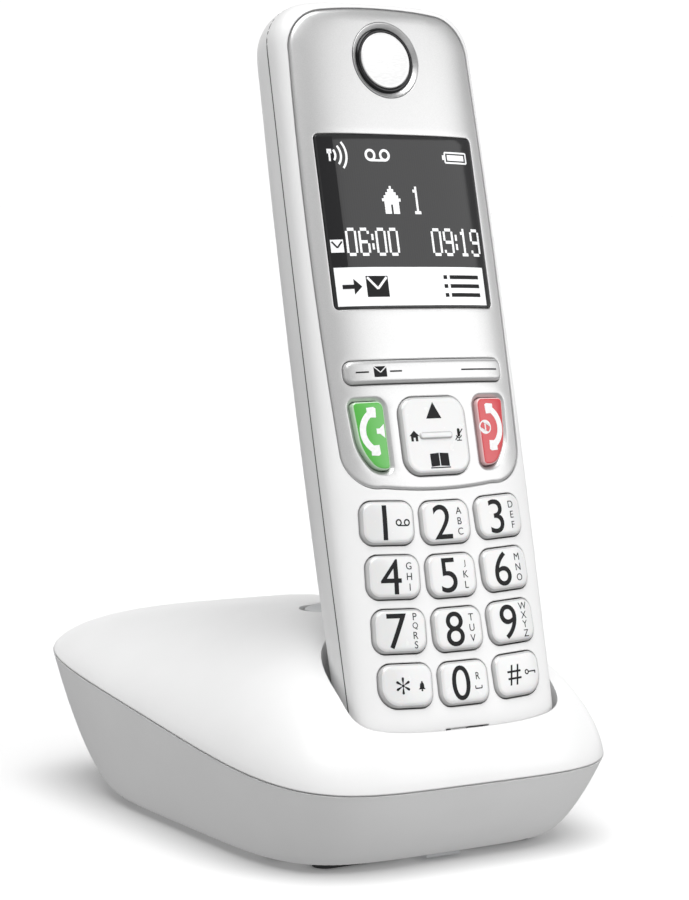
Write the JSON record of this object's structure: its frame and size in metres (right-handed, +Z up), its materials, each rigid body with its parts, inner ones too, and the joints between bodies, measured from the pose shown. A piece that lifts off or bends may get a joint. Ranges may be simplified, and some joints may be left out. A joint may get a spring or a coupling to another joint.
{
  "type": "cordless phone with base",
  "caption": "Cordless telephone handset with keypad, display and lift-off battery cover, leaning in a low domed charging base with a paging button.",
  "frame": {"origin": "on the table under the middle of the base", "axes": "+Z up, -Y towards the keypad side, X across"},
  "size_m": [0.0888, 0.1242, 0.1764],
  "materials": {
    "white_shell": "satin white moulded plastic",
    "light_grey_plastic": "satin light grey plastic",
    "silver_plate": "silver paint, satin",
    "key_silver": "pale silver keys",
    "green_key": "green key",
    "red_key": "red key",
    "clear_window": "clear acrylic window",
    "display_dark": "liquid crystal panel",
    "display_white": "white light guide",
    "bezel_metal": "satin bevel",
    "ring_metal": "dark chrome ring",
    "cap_metal": "silver paint",
    "black_plastic": "black plastic",
    "rubber": "black rubber",
    "mat_rubber": "translucent silicone",
    "board_green": "solder mask",
    "tin": "tin plate",
    "steel": "zinc plated",
    "contact_brass": "gold plated",
    "cell_wrap": "plain cell sleeve"
  },
  "bodies": {
    "base": {"base_top_shell": "white_shell", "base_bottom_shell": "white_shell", "base_front_tab": "light_grey_plastic", "base_foot_pads": "rubber", "base_screws": "steel", "base_circuit_board": "board_green", "base_radio_shield": "tin", "base_antennas": "tin", "base_capacitors": "tin", "line_socket": "black_plastic", "power_socket": "black_plastic", "socket_wires": "contact_brass", "page_switch": "black_plastic", "contact_block": "light_grey_plastic"},
    "handset": {"battery_cells": "cell_wrap", "battery_contacts": "contact_brass", "charge_pads": "contact_brass", "display_backlight": "display_white", "display_panel": "display_dark", "display_window": "clear_window", "earpiece_bezel": "bezel_metal", "earpiece_cap": "cap_metal", "earpiece_ring": "ring_metal", "earpiece_speaker": "black_plastic", "front_plate": "silver_plate", "handset_antenna": "tin", "handset_back_shell": "white_shell", "handset_circuit_board": "board_green", "handset_front_shell": "white_shell", "handset_radio_shield": "tin", "handset_screws": "steel", "keypad_mat": "mat_rubber", "microphone": "tin", "ringer_speaker": "black_plastic"},
    "key_1": {"key_1": "key_silver"},
    "key_2": {"key_2": "key_silver"},
    "key_3": {"key_3": "key_silver"},
    "key_4": {"key_4": "key_silver"},
    "key_5": {"key_5": "key_silver"},
    "key_6": {"key_6": "key_silver"},
    "key_7": {"key_7": "key_silver"},
    "key_8": {"key_8": "key_silver"},
    "key_9": {"key_9": "key_silver"},
    "key_star": {"key_star": "key_silver"},
    "key_0": {"key_0": "key_silver"},
    "key_hash": {"key_hash": "key_silver"},
    "talk_key": {"talk_key": "green_key"},
    "end_key": {"end_key": "red_key"},
    "softkey_bar": {"softkey_bar": "key_silver"},
    "nav_key_carrier": {"nav_key_carrier": "black_plastic"},
    "nav_key": {"nav_key": "key_silver"},
    "battery_cover": {"battery_cover": "white_shell"},
    "page_button": {"page_button": "light_grey_plastic"},
    "contact_left": {"contact_left": "contact_brass"},
    "contact_right": {"contact_right": "contact_brass"}
  },
  "joints": [
    {"name": "handset_lift", "type": "slide", "parent": "base", "child": "handset", "axis": [0, 0.2529, 0.9675], "range_m": [0, 0.07]},
    {"name": "key_1_press", "type": "slide", "parent": "handset", "child": "key_1", "axis": [0, 0.9675, -0.2529], "range_m": [0, 0.0007], "stiffness_N_per_m": 500, "springref_m": -0.0002},
    {"name": "key_2_press", "type": "slide", "parent": "handset", "child": "key_2", "axis": [0, 0.9675, -0.2529], "range_m": [0, 0.0007], "stiffness_N_per_m": 500, "springref_m": -0.0002},
    {"name": "key_3_press", "type": "slide", "parent": "handset", "child": "key_3", "axis": [0, 0.9675, -0.2529], "range_m": [0, 0.0007], "stiffness_N_per_m": 500, "springref_m": -0.0002},
    {"name": "key_4_press", "type": "slide", "parent": "handset", "child": "key_4", "axis": [0, 0.9675, -0.2529], "range_m": [0, 0.0007], "stiffness_N_per_m": 500, "springref_m": -0.0002},
    {"name": "key_5_press", "type": "slide", "parent": "handset", "child": "key_5", "axis": [0, 0.9675, -0.2529], "range_m": [0, 0.0007], "stiffness_N_per_m": 500, "springref_m": -0.0002},
    {"name": "key_6_press", "type": "slide", "parent": "handset", "child": "key_6", "axis": [0, 0.9675, -0.2529], "range_m": [0, 0.0007], "stiffness_N_per_m": 500, "springref_m": -0.0002},
    {"name": "key_7_press", "type": "slide", "parent": "handset", "child": "key_7", "axis": [0, 0.9675, -0.2529], "range_m": [0, 0.0007], "stiffness_N_per_m": 500, "springref_m": -0.0002},
    {"name": "key_8_press", "type": "slide", "parent": "handset", "child": "key_8", "axis": [0, 0.9675, -0.2529], "range_m": [0, 0.0007], "stiffness_N_per_m": 500, "springref_m": -0.0002},
    {"name": "key_9_press", "type": "slide", "parent": "handset", "child": "key_9", "axis": [0, 0.9675, -0.2529], "range_m": [0, 0.0007], "stiffness_N_per_m": 500, "springref_m": -0.0002},
    {"name": "key_star_press", "type": "slide", "parent": "handset", "child": "key_star", "axis": [0, 0.9675, -0.2529], "range_m": [0, 0.0007], "stiffness_N_per_m": 500, "springref_m": -0.0002},
    {"name": "key_0_press", "type": "slide", "parent": "handset", "child": "key_0", "axis": [0, 0.9675, -0.2529], "range_m": [0, 0.0007], "stiffness_N_per_m": 500, "springref_m": -0.0002},
    {"name": "key_hash_press", "type": "slide", "parent": "handset", "child": "key_hash", "axis": [0, 0.9675, -0.2529], "range_m": [0, 0.0007], "stiffness_N_per_m": 500, "springref_m": -0.0002},
    {"name": "talk_key_press", "type": "slide", "parent": "handset", "child": "talk_key", "axis": [0, 0.9675, -0.2529], "range_m": [0, 0.0007], "stiffness_N_per_m": 500, "springref_m": -0.0002},
    {"name": "end_key_press", "type": "slide", "parent": "handset", "child": "end_key", "axis": [0, 0.9675, -0.2529], "range_m": [0, 0.0007], "stiffness_N_per_m": 500, "springref_m": -0.0002},
    {"name": "softkey_rock", "type": "hinge", "parent": "handset", "child": "softkey_bar", "pos_m": [0, -0.0359, 0.09959], "axis": [0, 0.2529, 0.9675], "range_deg": [-2, 2], "stiffness_Nm_per_rad": 0.2},
    {"name": "nav_tilt_up_down", "type": "hinge", "parent": "handset", "child": "nav_key_carrier", "pos_m": [0, -0.03925, 0.08641], "axis": [1, 0, 0], "range_deg": [-3, 3], "stiffness_Nm_per_rad": 0.1},
    {"name": "nav_tilt_left_right", "type": "hinge", "parent": "nav_key_carrier", "child": "nav_key", "pos_m": [0, -0.03925, 0.08641], "axis": [0, 0.2529, 0.9675], "range_deg": [-3, 3], "stiffness_Nm_per_rad": 0.1},
    {"name": "battery_cover_swing", "type": "hinge", "parent": "handset", "child": "battery_cover", "pos_m": [0, -0.02809, 0.04959], "axis": [-1, 0, 0], "range_deg": [0, 30], "stiffness_Nm_per_rad": 0.02, "springref_deg": -34.38},
    {"name": "page_button_press", "type": "slide", "parent": "base", "child": "page_button", "axis": [0, 0, -1], "range_m": [0, 0.001], "stiffness_N_per_m": 400, "springref_m": -0.0005},
    {"name": "contact_left_press", "type": "slide", "parent": "base", "child": "contact_left", "axis": [0, 0.2529, 0.9675], "range_m": [-0.0008, 0], "stiffness_N_per_m": 300, "springref_m": 0.001},
    {"name": "contact_right_press", "type": "slide", "parent": "base", "child": "contact_right", "axis": [0, 0.2529, 0.9675], "range_m": [-0.0008, 0], "stiffness_N_per_m": 300, "springref_m": 0.001}
  ]
}
